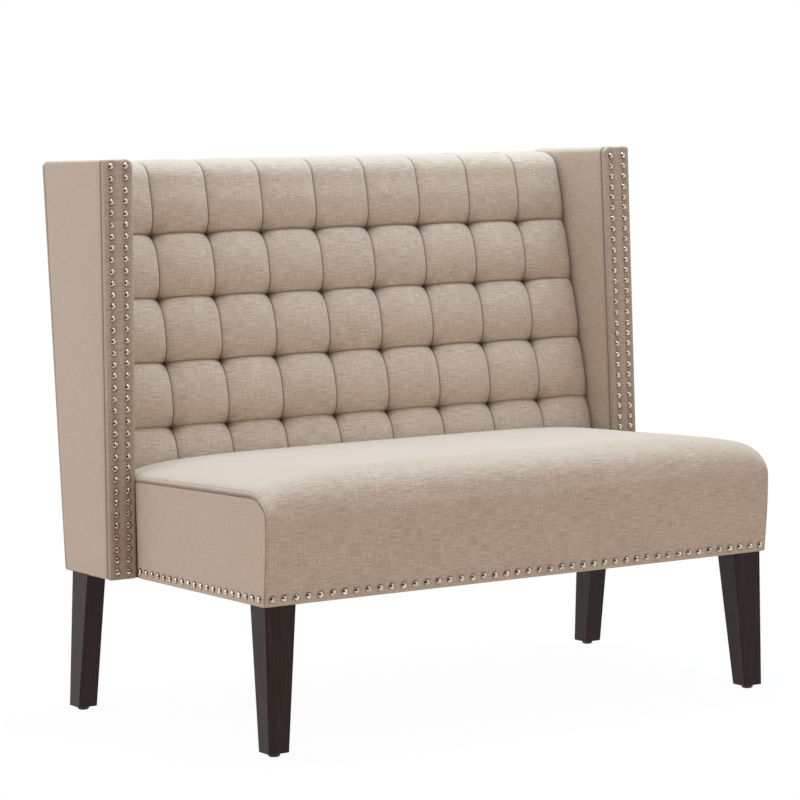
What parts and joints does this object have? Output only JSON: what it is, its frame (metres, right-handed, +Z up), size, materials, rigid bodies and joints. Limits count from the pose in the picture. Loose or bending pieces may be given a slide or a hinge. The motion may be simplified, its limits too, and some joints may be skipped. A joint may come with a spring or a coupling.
{
  "type": "upholstered banquette bench",
  "caption": "Upholstered high-back bench with a biscuit-tufted back between leaning wings, a crowned waterfall seat, domed nail trim and tapered wooden legs.",
  "frame": {"origin": "middle of the bounding box's base, on the floor under the seat", "axes": "+X along the width, to a sitter's left; +Y from the seat's front to its back; +Z up"},
  "size_m": [1.225, 0.758, 1.048],
  "materials": {
    "upholstery": "matt linen-look weave, beige",
    "foam": "cream foam, a soft solid under the cover",
    "felt": "grey needled felt",
    "dust_cloth": "thin black non-woven cloth",
    "frame_timber": "planed, unfinished",
    "plywood": "unfinished ply",
    "leg_timber": "dark espresso stain, satin lacquer",
    "nail_heads": "antique nickel-brass, domed",
    "spring_steel": "drawn wire",
    "bolt_steel": "zinc plated",
    "tie_washers": "cream nylon",
    "glide_plastic": "matt black"
  },
  "bodies": {
    "root": {"front_leg_left": "leg_timber", "front_leg_right": "leg_timber", "back_leg_left": "leg_timber", "back_leg_right": "leg_timber", "leg_glides": "glide_plastic", "leg_bolts": "bolt_steel", "leg_nuts": "bolt_steel", "seat_front_rail": "frame_timber", "seat_back_rail": "frame_timber", "seat_side_rail_left": "frame_timber", "seat_side_rail_right": "frame_timber", "rear_stretcher": "frame_timber", "corner_blocks": "frame_timber", "cross_braces": "frame_timber", "seat_springs": "spring_steel", "spring_clips": "spring_steel", "felt_pad": "felt", "seat_foam": "foam", "front_edge_pad": "foam", "seat_top_cover": "upholstery", "seat_side_cover_left": "upholstery", "seat_side_cover_right": "upholstery", "dust_cover": "dust_cloth", "seat_front_nails": "nail_heads", "seat_side_nails_left": "nail_heads", "seat_side_nails_right": "nail_heads", "back_upright_left": "frame_timber", "back_upright_right": "frame_timber", "back_top_rail": "frame_timber", "back_middle_rail": "frame_timber", "back_bottom_rail": "frame_timber", "tuft_board": "plywood", "tuft_ties": "tie_washers", "tufted_back": "upholstery", "rear_board": "plywood", "rear_cover": "upholstery", "wing_block_left": "frame_timber", "wing_block_right": "frame_timber", "wing_frame_left": "frame_timber", "wing_frame_right": "frame_timber", "wing_inside_pad_left": "upholstery", "wing_inside_pad_right": "upholstery", "wing_outside_cover_left": "upholstery", "wing_outside_cover_right": "upholstery", "wing_front_strip_left": "upholstery", "wing_front_strip_right": "upholstery", "wing_nails_left": "nail_heads", "wing_nails_right": "nail_heads", "frame_bolts": "bolt_steel"}
  },
  "joints": []
}
